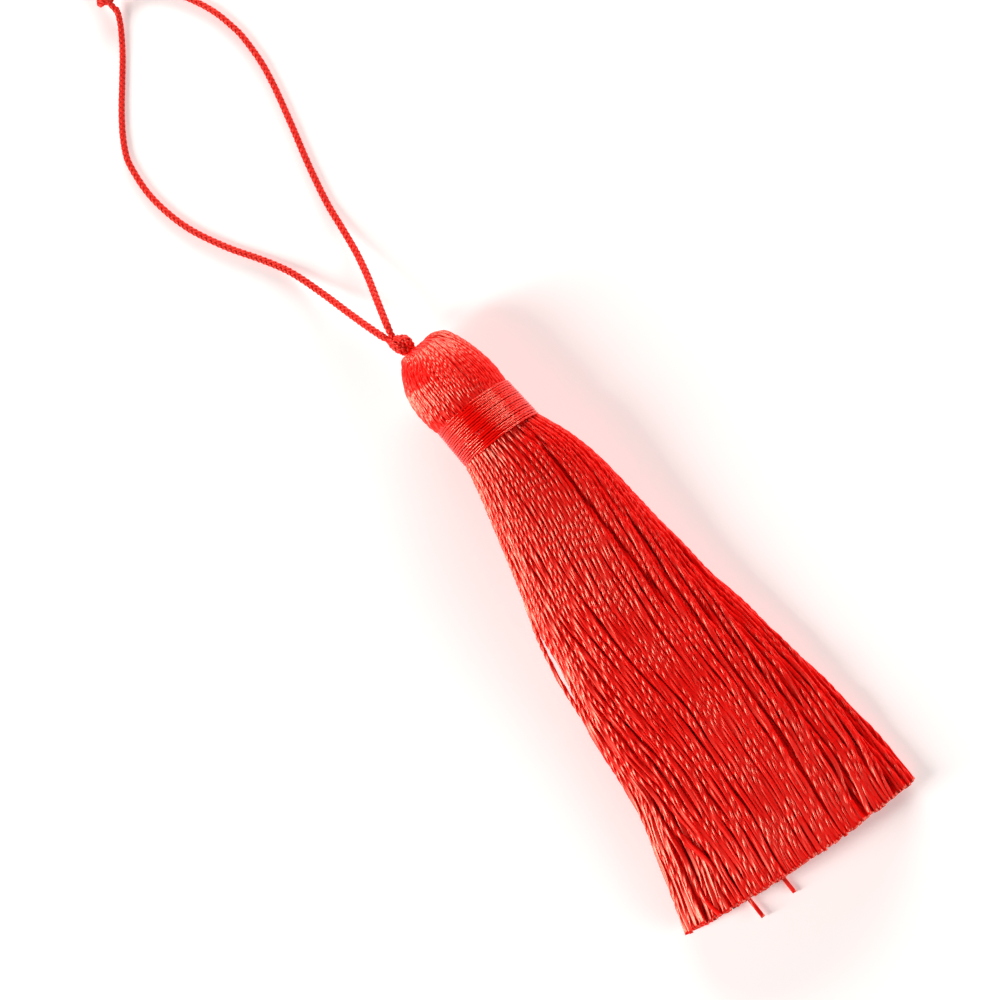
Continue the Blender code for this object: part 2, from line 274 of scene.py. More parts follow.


# A yarn of three plies in section: how far each point reaches, how deep it lies in the groove
# (the finishes paint shade there and make it duller), and rings for one turn.
ply = {
    "fine": {
        "reach": 3 * (1.0, 0.86, 0.58, 0.86),
        "groove": 3 * (0.0, 0.35, 1.0, 0.35),
        "perTurn": 9,
    },
    "plain": {
        "reach": 3 * (1.0, 0.8),
        "groove": 3 * (0.0, 1.0),
        "perTurn": 6,
    },
    "buried": {"reach": (1.0, 0.9, 1.0, 0.9), "groove": (0.6, 0.6, 0.6, 0.6), "perTurn": 0},
}
yarn = {
    "tightness": (0.92, 0.16),  # the least twist as a share of the usual, and how much more
    "mixing": 1.7,  # deals the tightness out to the strands
    "uneven": 0.16,  # turns, and over how many mm they come and go
    "wave": 9.0,
    "buriedStep": 4.0,  # mm between the rings of a strand that nothing shows of
}


def joinYarns(
    name, lines, width, finish, kind, phase, tint, twist, loosened=0.0, up=None, sideways=None
):
    # twisted yarns along lines that have many more points than they need
    section = ply[kind]
    sides = len(section["reach"])
    length = np.linalg.norm(np.diff(lines, axis=1), axis=2).sum(1)
    least, more = yarn["tightness"]
    if section["perTurn"]:
        turns = length / twist * (least + more * (phase * yarn["mixing"] % 1))
        steps = turns.mean() * section["perTurn"]
    else:
        turns = 0 * length
        steps = length.mean() / yarn["buriedStep"]
    rings = max(fewest, round(steps) + 1)
    pick = np.linspace(0, lines.shape[1] - 1, rings)
    low = np.minimum(pick.astype(int), lines.shape[1] - 2)
    share = (pick - low)[None, :, None]
    points = lines[:, low] * (1 - share) + lines[:, low + 1] * share
    width = width[:, low] * (1 - share[..., 0]) + width[:, low + 1] * share[..., 0]
    if sideways is None:
        across, rise = crossFrame(points, up)
    else:
        across = np.broadcast_to(sideways[:, None], points.shape)
        rise = np.cross(directions(points), across)
    share = np.linspace(0, 1, rings)[None]
    waves = share * length[:, None] / yarn["wave"] + phase[:, None]
    uneven = yarn["uneven"] * np.sin(2 * math.pi * waves)
    run = share * (1 - loosened * share / 2)
    turn = (run * turns[:, None] + uneven) * 2 * math.pi + phase[:, None]
    angles = np.linspace(0, 2 * math.pi, sides, endpoint=False)[None, None] + turn[..., None]
    spread = width[..., None] / 2 * np.array(section["reach"])
    groove = np.array(section["groove"])
    return joinTubes(name, points, across, rise, angles, spread, finish, tint=tint, groove=groove)


def addNode(tree, kind, **sockets):
    node = tree.nodes.new(kind)
    for name, value in sockets.items():
        node.inputs[name.replace("_", " ")].default_value = value
    return node


flossFinish = {
    "anisotropy": 0.8,
    "grooveDull": 0.1,  # how much duller it is between the plies
    "deep": (0.62, 0.0010, 0.0010),  # from the darkest strand to the lightest
    "middle": (0.81, 0.0025, 0.0020),
    "light": (0.91, 0.005, 0.004),
    "hollow": (0.76, 0.0, 0.0),  # painted shade: the darker colour painted between the plies, and how far it goes there
    "grooveShadeShare": 0.8,
    "roughness": (0.28, 0.38),  # on the smoothest fibres and on the roughest
    "sheen": 0.0,
    "specular": 0.8,
    "ior": 1.68,
    "fibreBump": 0.06,
    "fibresAround": 26.0,
    "fibreLength": 0.9,  # mm
}
wrapFinish = {
    "anisotropy": 0.5,
    "grooveDull": 0.3,
    "deep": (0.62, 0.0008, 0.0005),
    "middle": (0.84, 0.0020, 0.0010),
    "light": (0.92, 0.005, 0.003),
    # painted shade: the darker colour painted between the plies, and how far it goes there
    "hollow": (0.42, 0.0, 0.0),
    "grooveShadeShare": 0.75,
    "roughness": (0.10, 0.14),
    "sheen": 0.0,
    "specular": 0.8,
    "ior": 1.5,
    "fibreBump": 0.06,
    "fibresAround": 14.0,
    "fibreLength": 0.6,
}
cordFinish = {
    "anisotropy": 0.4,
    "grooveDull": 0.3,
    "deep": (0.46, 0.002, 0.002),
    "middle": (0.66, 0.005, 0.004),
    "light": (0.80, 0.014, 0.010),
    # painted shade: the darker colour painted between the strands, and how far it goes there
    "hollow": (0.36, 0.0, 0.0),
    "grooveShadeShare": 0.45,
    "roughness": (0.34, 0.5),
    "sheen": 0.04,
    "specular": 0.55,
    "ior": 1.5,
    "fibreBump": 0.06,
    "fibresAround": 10.0,
    "fibreLength": 0.7,
}
silk = {  # the same for the three finishes
    "specularTint": (1.0, 0.60, 0.42),
    "sheenTint": (1.0, 0.12, 0.08),
    "sheenRoughness": 0.4,
    "fibreDetail": 3.0,
    "fibreRoughness": 0.6,
    "fibreTone": 0.5,  # how far the fibres and the patches change the tone
    "patchTone": 0.5,
    "patchScale": 260.0,  # a metre
    "patchDetail": 2.0,
    "middleAt": 0.55,
    "relief": 0.00006,  # m
}


def threadMaterial(name, finish):
    made = bpy.data.materials.new(name)
    made.use_nodes = True
    tree = made.node_tree
    link = tree.links.new
    shader = tree.nodes["Principled BSDF"]
    shader.inputs["Sheen Weight"].default_value = finish["sheen"]
    shader.inputs["Sheen Roughness"].default_value = silk["sheenRoughness"]
    shader.inputs["Sheen Tint"].default_value = (*silk["sheenTint"], 1)
    shader.inputs["Specular IOR Level"].default_value = finish["specular"]
    shader.inputs["IOR"].default_value = finish["ior"]
    shader.inputs["Specular Tint"].default_value = (*silk["specularTint"], 1)

    # fine fibres along the plies
    place = addNode(tree, "ShaderNodeUVMap")
    place.uv_map = "thread"
    density = (finish["fibresAround"], 1 / finish["fibreLength"], 1)
    scale = addNode(tree, "ShaderNodeMapping", Scale=density)
    link(place.outputs["UV"], scale.inputs["Vector"])
    fibres = addNode(
        tree,
        "ShaderNodeTexNoise",
        Scale=1.0,
        Detail=silk["fibreDetail"],
        Roughness=silk["fibreRoughness"],
    )
    link(scale.outputs["Vector"], fibres.inputs["Vector"])

    # soft patches over the whole bundle
    spot = addNode(tree, "ShaderNodeTexCoord")
    patches = addNode(
        tree, "ShaderNodeTexNoise", Scale=silk["patchScale"], Detail=silk["patchDetail"]
    )
    link(spot.outputs["Object"], patches.inputs["Vector"])

    # tone: one value for each strand, with patches and fibres added
    tint = addNode(tree, "ShaderNodeAttribute")
    tint.attribute_name = "tint"
    addPatch = addNode(tree, "ShaderNodeMath")
    addPatch.operation = "MULTIPLY_ADD"
    addPatch.inputs[1].default_value = silk["patchTone"]
    addPatch.inputs[2].default_value = -silk["patchTone"] / 2
    link(patches.outputs["Fac"], addPatch.inputs[0])
    addFibre = addNode(tree, "ShaderNodeMath")
    addFibre.operation = "MULTIPLY_ADD"
    addFibre.inputs[1].default_value = silk["fibreTone"]
    link(fibres.outputs["Fac"], addFibre.inputs[0])
    link(addPatch.outputs[0], addFibre.inputs[2])
    total = addNode(tree, "ShaderNodeMath")
    total.operation = "ADD"
    link(tint.outputs["Fac"], total.inputs[0])
    link(addFibre.outputs[0], total.inputs[1])
    ramp = tree.nodes.new("ShaderNodeValToRGB")
    tones = ramp.color_ramp
    tones.elements[0].color = (*finish["deep"], 1)
    tones.elements[1].color = (*finish["light"], 1)
    between = tones.elements.new(silk["middleAt"])
    between.color = (*finish["middle"], 1)
    link(total.outputs[0], ramp.inputs["Fac"])

    # painted shade: the grooves between the plies are drawn darker, mixed towards the hollow colour
    groove = addNode(tree, "ShaderNodeAttribute")
    groove.attribute_name = "groove"
    depth = addNode(tree, "ShaderNodeMath")
    depth.operation = "MULTIPLY"
    depth.inputs[1].default_value = finish["grooveShadeShare"]
    link(groove.outputs["Fac"], depth.inputs[0])
    paintedGrooveShade = tree.nodes.new("ShaderNodeMix")
    paintedGrooveShade.data_type = "RGBA"
    sockets = {s.identifier: s for s in paintedGrooveShade.inputs}
    sockets["B_Color"].default_value = (*finish["hollow"], 1)
    link(depth.outputs[0], sockets["Factor_Float"])
    link(ramp.outputs["Color"], sockets["A_Color"])
    outs = {s.identifier: s for s in paintedGrooveShade.outputs}
    link(outs["Result_Color"], shader.inputs["Base Color"])

    # gloss and relief
    gloss = addNode(tree, "ShaderNodeMapRange")
    gloss.inputs["To Min"].default_value = finish["roughness"][0]
    gloss.inputs["To Max"].default_value = finish["roughness"][1]
    link(fibres.outputs["Fac"], gloss.inputs["Value"])
    dull = addNode(tree, "ShaderNodeMath")
    dull.operation = "MULTIPLY_ADD"
    dull.inputs[1].default_value = finish["grooveDull"]
    link(groove.outputs["Fac"], dull.inputs[0])
    link(gloss.outputs["Result"], dull.inputs[2])
    link(dull.outputs[0], shader.inputs["Roughness"])
    relief = addNode(
        tree, "ShaderNodeBump", Strength=finish["fibreBump"], Distance=silk["relief"]
    )
    link(fibres.outputs["Fac"], relief.inputs["Height"])
    link(relief.outputs["Normal"], shader.inputs["Normal"])

    # the gloss is drawn out across the fibres, as on silk
    grain = tree.nodes.new("ShaderNodeTangent")
    grain.direction_type = "UV_MAP"
    grain.uv_map = "thread"
    link(grain.outputs["Tangent"], shader.inputs["Tangent"])
    shader.inputs["Anisotropic"].default_value = finish["anisotropy"]
    return made


skirt = {
    "seed": 7,
    "strands": 520,
    "top": 27.2,  # y, inside the wrap
    "end": (-39.1, -0.066, 0.0019),  # y of the cut: in the middle, its lean and its curve over x
    "endUneven": 0.2,
    "width": 0.67,  # of one yarn, lower down
    "neckWidth": 0.53,
    "widthChange": (5.0, 24.0),  # y where it has the one width and where it has the other
    "widthSpread": (0.94, 1.06),
    "tones": (0.5, 0.14, 0.1, 0.95),
    "innerPaintedShade": 0.6,  # painted shade: the strands inside are drawn darker, at this share of that tone
    "twistLength": 3.9,  # mm for one full turn of the three plies
    "untwist": 0.65,  # how much of the twist is lost by the cut end
    "sway": 0.13,
    "swaySpread": (0.2, 1.0),
    "swayWaves": (31.0, 17.0, 9.5),  # mm
    "swayGrowth": 0.7,  # how fast it grows with the wave
    "swayFrom": (22.0, 2.0),  # y where it sets in and where it is whole
    "lift": (0.5, 1.13),  # the same up and down: its share, and how much faster it goes
    "wander": 0.30,
    "wanderers": 0.3,  # share of the strands that do
    "wanderSwing": 0.8,  # of half a wave
    "wanderRun": (20.0, -38.0),
    "strays": (-8.7, -3.1),  # x at the cut end of the two strands that were missed by the scissors
    "strayHeight": 1.0,  # they lie no higher than this
    "strayEnd": -41.7,
    # the y range where one strand lies apart, how far, over how many mm, and how it comes and goes
    "loose": {"first": 7.6, "last": -10.4, "gap": 0.85, "reach": 1.7, "shape": 1.3},
    "points": 240,  # along each strand
    "smoothing": 27,  # points
    "spare": 1.03,  # how far apart they push each other, over an even packing
    "relaxSteps": 60,
    "relaxShare": 0.3,
    "rim": 0.80,  # past this share of the outline a strand is made in full
    # so is one with fewer than so many others over it, in this share of its length
    "open": {"every": 10, "beside": 0.75, "over": 0.35, "fewer": 2, "share": 0.12},
    "sortPoint": 150,
    "creases": (  # x at the neck, x at the end, first and last y, depth, half width
        (5.9, 6.6, 24.0, -8.0, 0.75, 0.34),
        (-2.6, -9.5, 10.0, -34.0, 0.15, 0.30),
        (8.0, 11.2, 16.0, -34.0, 0.25, 0.30),
    ),
    "creaseRun": (24.0, -38.0),  # y at the neck and at the end
    "creaseFade": (2.0, 3.0, 6.0),  # mm over and under its first y, and over its last
    "creaseHeight": (3.0, 5.0),  # strands lower than this have none, and those over it all
}

# Outline of the skirt from above, and the height of its widest line and of its top over that.
skirtRows = [
    # y, left, right, middle, rise
    (27.2, -3.0, 7.5, 5.55, 4.95),
    (25.1, -3.3, 7.9, 5.55, 5.15),
    (23.1, -3.75, 9.1, 5.4, 5.40),
    (20.6, -4.35, 9.9, 5.15, 5.40),
    (18.1, -5.1, 10.55, 4.8, 5.25),
    (15.6, -5.75, 11.0, 4.5, 5.25),
    (12.5, -6.6, 11.25, 4.1, 5.25),
    (8.1, -7.9, 11.7, 3.6, 5.25),
    (3.1, -9.5, 12.2, 3.1, 5.30),
    (-1.9, -10.5, 12.75, 2.65, 5.30),
    (-6.9, -11.3, 13.6, 2.3, 5.25),
    (-11.9, -11.8, 14.5, 2.0, 5.20),
    (-16.9, -12.05, 15.2, 1.75, 5.10),
    (-21.9, -12.95, 15.75, 1.55, 5.10),
    (-26.9, -14.55, 16.55, 1.35, 5.00),
    (-31.9, -15.75, 17.0, 1.15, 4.95),
    (-35.0, -16.8, 17.15, 1.05, 4.92),
    (-38.2, -17.7, 17.25, 1.0, 4.90),
]


def pushApart(places, reach):
    # how far each strand of a row is pushed by those closer to it than the reach
    nearest = 0.05  # mm
    x, z = (places[:, axis, None] - places[None, :, axis] for axis in (0, 1))
    distance = np.sqrt(x * x + z * z)
    np.fill_diagonal(distance, reach)
    push = np.maximum(reach / np.maximum(distance, nearest) - 1, 0)
    return np.stack([(x * push).sum(1), (z * push).sum(1)], 1)


def packStrands():
    # where each strand runs through each row of the skirt
    closest = 0.866  # of a square, what a strand takes in the closest packing
    count = skirt["strands"]
    number = np.arange(count)
    spiral = np.sqrt((number + 0.5) / count)
    turn = number * math.pi * (3 - math.sqrt(5))
    places = np.stack([spiral * np.cos(turn), spiral * np.sin(turn)], 1)
    stations = []
    box = (places.min(0), places.max(0))
    for y, left, right, middle, rise in skirtRows:
        share = smoothStep(y, *skirt["widthChange"])
        half = mix(skirt["width"], skirt["neckWidth"], share) / 2
        centre = np.array([(left + right) / 2, middle])
        room = np.array([(right - left) / 2, rise]) - half
        low = np.array([centre[0] - room[0], max(half, centre[1] - room[1])])
        high = centre + room
        places = low + (places - box[0]) / (box[1] - box[0]) * (high - low)
        below = min(1.0, (middle - half) / room[1])  # the floor cuts the outline here
        roundness = math.pi / 2 + math.asin(below) + below * math.sqrt(1 - below**2)
        area = roundness * room[0] * room[1]
        even = skirt["spare"] * math.sqrt(area / count / closest)
        for _ in range(skirt["relaxSteps"]):
            places = places + skirt["relaxShare"] * pushApart(places, even)
            outward = (places - centre) / room
            places = centre + outward / np.maximum(np.hypot(*outward.T), 1)[:, None] * room
            places[:, 1] = np.maximum(places[:, 1], half)
        side = places[:, 0] - centre[0]
        stretch = np.where(side > 0, room[0] / side.max(), -room[0] / side.min())
        places[:, 0] = centre[0] + side * stretch
        box = (places.min(0), places.max(0))
        stations.append(places)
    return np.array(stations)


def cutEnds(stations, random):
    # y of the cut end of each strand
    x, z = stations[-1].T
    flat, lean, curve = skirt["end"]
    uneven = random.uniform(-1, 1, len(x)) * skirt["endUneven"]
    end = flat + lean * x + curve * x**2 + uneven
    tooHigh = np.where(z > skirt["strayHeight"], np.inf, 0)
    for strayX in skirt["strays"]:
        end[np.argmin(np.abs(x - strayX) + tooHigh)] = skirt["strayEnd"]
    return end


def skirtLines(stations, random):
    # smooth lines through the rows, (strands, points, 3)
    count = skirt["strands"]
    rowY = -np.array(skirtRows)[:, 0]
    end = cutEnds(stations, random)
    ys = mix(skirt["top"], end[:, None], np.linspace(0, 1, skirt["points"])[None])
    kernel = np.hanning(skirt["smoothing"])[1:-1]
    kernel /= kernel.sum()
    pad = len(kernel) // 2
    lines = np.stack([ys, ys, ys], 2)
    for strand in range(count):
        for column, axis in enumerate((0, 2)):
            through = np.interp(-ys[strand], rowY, stations[:, strand, column])
            wide = np.pad(through, pad, mode="reflect", reflect_type="odd")
            lines[strand, :, axis] = np.convolve(wide, kernel, "valid")
    swayStrands(lines, random)
    pressCreases(lines)
    leaveOneLoose(lines)
    return lines


def swayStrands(lines, random):
    # slight waves that grow towards the end, and some strands that wander off
    count = len(lines)
    ys = lines[:, :, 1]
    liftShare, liftPace = skirt["lift"]
    sway = np.zeros_like(ys)
    lift = np.zeros_like(ys)
    for wave in skirt["swayWaves"]:
        phase = random.uniform(0, 2 * math.pi, (count, 1))
        size = random.uniform(*skirt["swaySpread"], (count, 1)) * skirt["sway"]
        size = size * (wave / skirt["swayWaves"][1]) ** skirt["swayGrowth"]
        sway += size * np.sin(2 * math.pi * ys / wave + phase)
        lift += liftShare * size * np.cos(2 * math.pi * ys / wave * liftPace + phase)
    wander = random.normal(0, 1, (count, 1)) * skirt["wander"]
    wander = wander * (random.random((count, 1)) < skirt["wanderers"])
    swing = goingDown(ys, *skirt["wanderRun"]) * math.pi * skirt["wanderSwing"]
    sway += wander * np.sin(swing)
    free = goingDown(ys, *skirt["swayFrom"])
    lines[:, :, 0] += free * sway
    lines[:, :, 2] += free * lift


def pressCreases(lines):
    # long hollows between the locks
    ys = lines[:, :, 1]
    over, under, out = skirt["creaseFade"]
    for neckX, endX, first, last, depth, half in skirt["creases"]:
        seam = mix(neckX, endX, goingDown(ys, *skirt["creaseRun"]))
        near = np.exp(-(((lines[:, :, 0] - seam) / half) ** 2))
        begun = goingDown(ys, first + over, first - under)
        ended = goingDown(ys, last + out, last)
        upper = smoothStep(lines[:, :, 2], *skirt["creaseHeight"])
        lines[:, :, 2] -= depth * near * (begun * (1 - ended)) * upper


def leaveOneLoose(lines):
    # the outermost strand at the left keeps its place, and those beside it draw back from it
    loose = skirt["loose"]
    first, last = loose["first"], loose["last"]
    y = lines[:, :, 1]
    share = np.clip((first - y) / (first - last), 0, 1)
    between = np.abs(y - (first + last) / 2).argmin(1)
    outermost = lines[np.arange(len(lines)), between, 0].argmin()
    edge = np.interp(-y, -lines[outermost, :, 1], lines[outermost, :, 0])
    nearEdge = np.exp(-(((lines[:, :, 0] - edge) / loose["reach"]) ** 2))
    back = loose["gap"] * np.sin(math.pi * share) ** loose["shape"] * nearEdge
    back[outermost] = 0
    lines[:, :, 0] += back


def shownStrands(lines, stations):
    # strands of the rim, and those with hardly anything lying on them
    test = skirt["open"]
    beside, over = test["beside"] * skirt["width"], test["over"] * skirt["width"]
    bare = np.zeros(len(lines))
    stops = range(test["every"], lines.shape[1], test["every"])
    for stop in stops:
        x, z = lines[:, stop, 0], lines[:, stop, 2]
        near = np.abs(x[:, None] - x[None]) < beside
        above = (z[None] - z[:, None]) > over
        bare += (near & above).sum(1) < test["fewer"]
    rim = np.zeros(len(lines))
    for (y, left, right, middle, rise), places in zip(skirtRows, stations):
        out = (places - ((left + right) / 2, middle)) / ((right - left) / 2, rise)
        out[:, 1] = np.maximum(out[:, 1], 0)
        rim = np.maximum(rim, np.hypot(*out.T))
    stray = lines[:, -1, 1] < skirt["strayEnd"] + 1
    return (bare / len(stops) > test["share"]) | (rim > skirt["rim"]) | stray


def buildSkirt(finish):
    random = np.random.default_rng(skirt["seed"])
    stations = packStrands()
    lines = skirtLines(stations, random)
    count = skirt["strands"]
    share = smoothStep(lines[:, :, 1], *skirt["widthChange"])
    width = mix(skirt["width"], skirt["neckWidth"], share)
    width = width * random.uniform(*skirt["widthSpread"], (count, 1))
    lines[:, :, 2] = np.maximum(lines[:, :, 2], width / 2)
    phase = random.uniform(0, 2 * math.pi, count)
    tint = drawTones(random, count, skirt["tones"])
    fine = shownStrands(lines, stations)
    hidden = np.where(~fine)[0]
    shown = np.where(fine)[0]
    shown = shown[np.argsort(lines[shown, skirt["sortPoint"], 0])]
    names = ("skirt_left", "skirt_midleft", "skirt_midright", "skirt_right")
    split = np.array_split(shown, len(names))
    parts = [(name, part, "fine", 1.0) for name, part in zip(names, split)]
    # the strands inside get painted shade: their tone is darkened
    parts.append(("skirt_inner", hidden, "buried", skirt["innerPaintedShade"]))
    return [
        joinYarns(
            name, lines[part], width[part], finish, kind, phase[part], tint[part] * tone,
            skirt["twistLength"], skirt["untwist"], up=(0, 0, 1),
        )
        for name, part, kind, tone in parts
    ]


head = {
    "seed": 11,
    "strands": 90,  # in each of the two layers
    "axisZ": 5.55,
    "width": 0.50,
    "widthSpread": (0.94, 1.06),
    "tones": (0.5, 0.12, 0.1, 0.95),
    # painted shade: the inner layer is drawn darker, at this share of its tone
    "innerPaintedShade": 0.6,
    "twistLength": 3.6,
    "points": 110,  # along each strand
    "layerDepth": 0.22,
    "depthSpread": 0.07,
    "angleSpread": 0.010,  # radians
    "bends": (  # radians, the y that each starts from, half a wave
        (0.010, 31.0, 9.0),
        (0.006, 30.0, 4.3),
    ),
    "crowded": 0.80,  # closer together than this share of their width, some sink under the others
    "sink": 0.5,  # how much those are drawn down at the tip, as a share of their depth
    "sinkWithin": (2.0, 4.0),  # whole this near to the axis, and none that far from it
    "leastRadius": 0.3,
    # a dimple: where it is round the head and how wide (radians), its depth, y and length
    "hollow": {"angle": 0.72, "spread": 0.20, "depth": 1.1, "y": 40.3, "length": 0.85},
}

# Middle lines of the head's strands: y, distance from the axis, x of the axis,
# and how much higher the right side is.
headRows = [
    (29.2, 4.95, 2.20, 0.0), (30.6, 5.10, 2.08, 0.0), (31.5, 5.30, 1.90, 0.0),
    (32.4, 5.44, 1.82, 0.0), (33.1, 5.48, 1.78, 0.0), (34.35, 5.48, 1.69, 0.0),
    (35.6, 5.33, 1.60, 0.0), (36.85, 5.10, 1.54, 0.0), (38.1, 4.68, 1.58, 0.0),
    (39.35, 4.12, 1.61, 0.05), (40.38, 3.46, 1.60, 0.20), (40.95, 2.65, 1.10, 0.22),
    (41.08, 1.90, 0.85, 0.12), (40.80, 1.20, 0.60, 0.0), (40.00, 0.60, 0.40, 0.0),
]


def headLines(layer, random):
    count = head["strands"]
    points = head["points"]
    golden = 0.618
    rows = np.array(headRows)
    profile = smoothPath([(y, reach, 0) for y, reach, *_ in headRows], count=points)
    y, reach = profile[:, 0], profile[:, 1]
    place = [np.argmin(np.hypot(y - row[0], reach - row[1])) for row in rows]
    middle = np.interp(np.arange(points), place, rows[:, 2])
    tip = np.interp(np.arange(points), place, rows[:, 3])
    number = np.arange(count)
    angle = (number + 0.5 * layer) / count * 2 * math.pi
    angle = angle + random.normal(0, head["angleSpread"], count)
    pitch = 2 * math.pi * reach / count
    crowd = np.clip(1 - pitch / (head["crowded"] * head["width"]), 0, 1)
    dive = (number * golden % 1)[:, None] * crowd[None] + head["layerDepth"] * layer
    dive = dive + random.uniform(0, head["depthSpread"], (count, 1))
    gap = head["hollow"]
    around = (angle[:, None] - gap["angle"] + math.pi) % (2 * math.pi) - math.pi
    beside = np.exp(-((around / gap["spread"]) ** 2))
    dive = dive + gap["depth"] * beside * np.exp(-(((y[None] - gap["y"]) / gap["length"]) ** 2))
    radius = np.maximum(reach[None] - dive, head["leastRadius"])
    bend = 0
    for spread, start, wave in head["bends"]:
        size = random.normal(0, spread, (count, 1))
        bend = bend + size * np.sin((y[None] - start) / wave * math.pi)
    turned = angle[:, None] + bend
    x = middle[None] + radius * np.cos(turned)
    z = head["axisZ"] + radius * np.sin(turned)
    sunk = head["sink"] * dive * (1 - smoothStep(reach, *head["sinkWithin"]))[None]
    ys = y[None] + tip[None] * np.cos(turned) - sunk
    return np.stack([x, ys, z], 2), angle


def buildHead(finish):
    random = np.random.default_rng(head["seed"])
    count = head["strands"]
    pieces = []
    for layer, name in enumerate(("head_floss", "head_floss_inner")):
        lines, angle = headLines(layer, random)
        width = np.full(lines.shape[:2], head["width"])
        width = width * random.uniform(*head["widthSpread"], (count, 1))
        lines[:, :, 2] = np.maximum(lines[:, :, 2], width / 2)
        sideways = np.stack([np.sin(angle), np.zeros(count), -np.cos(angle)], 1)
        phase = random.uniform(0, 2 * math.pi, count)
        tint = drawTones(random, count, head["tones"])
        kind = "fine"
        if layer:
            kind = "plain"
            # painted shade: the inner layer's tone is darkened
            tint = tint * head["innerPaintedShade"]
        pieces.append(joinYarns(
            name, lines, width, finish, kind, phase, tint, head["twistLength"], sideways=sideways
        ))
    return pieces


wrap = {
    "seed": 3,
    "top": 31.05,  # y
    "bottom": 25.35,
    "radiusTop": 5.50,  # to the outside of the thread
    "radiusBottom": 5.68,
    "axisX": (2.06, 2.40),  # at the top and at the bottom
    "turns": 18,
    "wide": 0.30,  # of the thread, along the neck
    "thick": 0.38,  # and outwards
    "tilt": 0.125,  # the rings lean: the side away from the floor is further up
    "unevenTurns": 0.10,
    "unevenRadius": 0.015,
    "perTurn": 150,  # rings
    "sides": 8,
    "twistLength": 1.7,  # mm for one turn of the thread's two plies, and how much they show
    "twistDepth": 0.14,
    "groove": (0.0, 0.4, 1.0, 0.4, 0.0, 0.4, 1.0, 0.4),  # how deep each side lies between the plies, where painted shade darkens it
    "startAngle": 2.2,
    "waver": (0.03, 1.7),  # mm, and how many times in a turn
    "folds": 34,  # strips in the baking map
}


def buildWrap(finish):
    random = np.random.default_rng(wrap["seed"])
    turns = wrap["turns"]
    rings = turns * wrap["perTurn"] + 1
    turn = np.linspace(0, turns, rings)
    uneven = wrap["unevenTurns"]
    gaps = random.uniform(1 - uneven, 1 + uneven, turns + 1)
    spacing = np.interp(turn, np.arange(turns + 1), np.cumsum(gaps))
    spacing = (spacing - spacing[0]) / (spacing[-1] - spacing[0])
    angle = 2 * math.pi * turn + wrap["startAngle"]
    swells = random.normal(0, wrap["unevenRadius"], turns + 1)
    swell = np.interp(turn, np.arange(turns + 1), swells)
    radius = mix(wrap["radiusTop"], wrap["radiusBottom"], spacing) - wrap["thick"] / 2 + swell
    y = mix(wrap["top"], wrap["bottom"], spacing)
    x = mix(*wrap["axisX"], spacing) + radius * np.cos(angle)
    z = head["axisZ"] + radius * np.sin(angle)
    waver, pace = wrap["waver"]
    y = y + wrap["tilt"] * (z - head["axisZ"]) + waver * np.sin(angle * pace)
    lines = np.stack([x, y, np.maximum(z, wrap["thick"] / 2)], 1)[None]
    across, rise = crossFrame(lines, (0, 1, 0))
    sides = wrap["sides"]
    angles = np.linspace(0, 2 * math.pi, sides, endpoint=False)
    angles = np.broadcast_to(angles, (1, rings, sides))
    reach = 0.5 / np.hypot(np.cos(angles) / wrap["thick"], np.sin(angles) / wrap["wide"])
    along = angle * wrap["radiusTop"] * 2 * math.pi / wrap["twistLength"]
    reach = reach * (1 + wrap["twistDepth"] * np.cos(2 * (angles - along[None, :, None])))
    groove = np.array(wrap["groove"])
    return [joinTubes(
        "neck_wrap", lines, across, rise, angles, reach, finish, wrap["folds"], groove=groove
    )]


braid = {
    "seed": 5,
    "strands": 4,  # each way round
    "lay": 2.7,  # mm for one turn
    "perTurn": 16,  # rings
    # shares of the cord's thickness: how far a strand goes over and under the others,
    # how thick and how wide it is, and how far it lies within the outside
    "weave": 0.075,
    "flat": 0.24,
    "wide": 0.46,
    "inset": 0.03,
    "sides": 6,
    # how deep each side lies between the strands, where painted shade darkens it
    "groove": (1.0, 0.0, 0.0, 1.0, 0.5, 0.5),
    "tones": (0.5, 0.1, 0.2, 0.9),
    "startAngle": 0.3,
    "onFloor": 0.7,  # a middle line lower than this lies on the floor
}


def braidTubes(line, size):
    # the lines and frames of a round braid along one line. size is its thickness at each point.
    across, rise = rolledFrame(line)
    along = np.concatenate([[0], np.cumsum(np.linalg.norm(np.diff(line, axis=0), axis=1))])
    turn = along / braid["lay"] * 2 * math.pi
    tubes = []
    for way in (1, -1):
        for number in range(braid["strands"]):
            phi = way * turn + number * 2 * math.pi / braid["strands"] + braid["startAngle"]
            out = np.cos(phi)[:, None] * across + np.sin(phi)[:, None] * rise
            weave = way * braid["weave"] * np.cos(braid["strands"] * turn) * size
            radius = size * (0.5 - braid["flat"] / 2 - braid["inset"]) + weave
            tubes.append((line + radius[:, None] * out, out))
    return np.array([t[0] for t in tubes]), np.array([t[1] for t in tubes])


